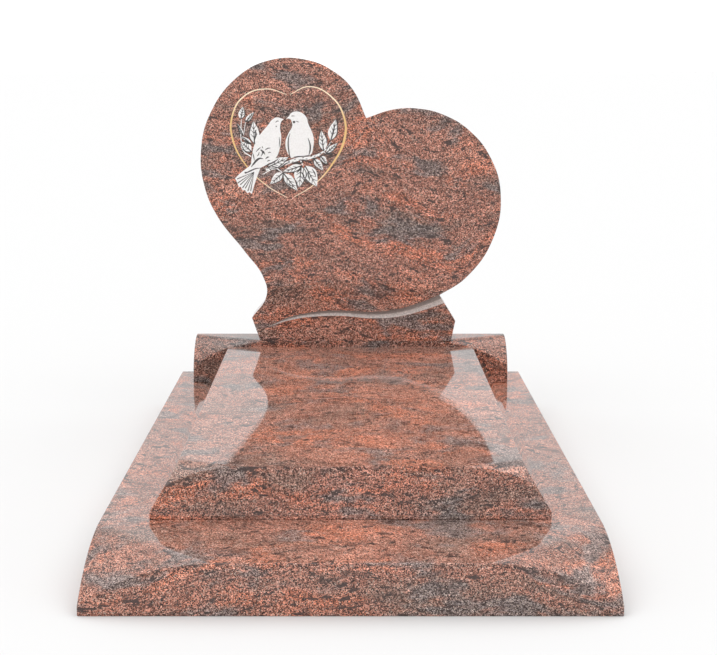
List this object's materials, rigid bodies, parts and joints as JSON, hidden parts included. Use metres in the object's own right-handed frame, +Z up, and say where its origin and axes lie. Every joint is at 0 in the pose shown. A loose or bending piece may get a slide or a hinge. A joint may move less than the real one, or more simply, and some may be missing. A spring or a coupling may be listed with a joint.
{
  "type": "grave monument",
  "caption": "Full-size polished red granite grave monument: base slab, ledger slab, plinth and a leaning heart headstone.",
  "frame": {"origin": "on the ground, under the middle of the base slab's underside", "axes": "+Z up; +Y towards the head of the grave, where the headstone stands; -Y towards its foot; +X to the right of a person who stands at the foot and looks at the headstone"},
  "size_m": [1, 2, 1.021],
  "materials": {
    "red_granite": null,
    "gold_paint": "gold monument paint in a fine engraved line, flush with the polish",
    "white_paint": "white monument paint, flush with the polish",
    "grey_paint": "dark grey monument paint for the birds' and leaves' drawing, flush with the polish"
  },
  "bodies": {
    "root": {"base_slab": "red_granite", "ledger_slab": "red_granite", "headstone_plinth": "red_granite", "headstone": "red_granite"}
  },
  "joints": []
}
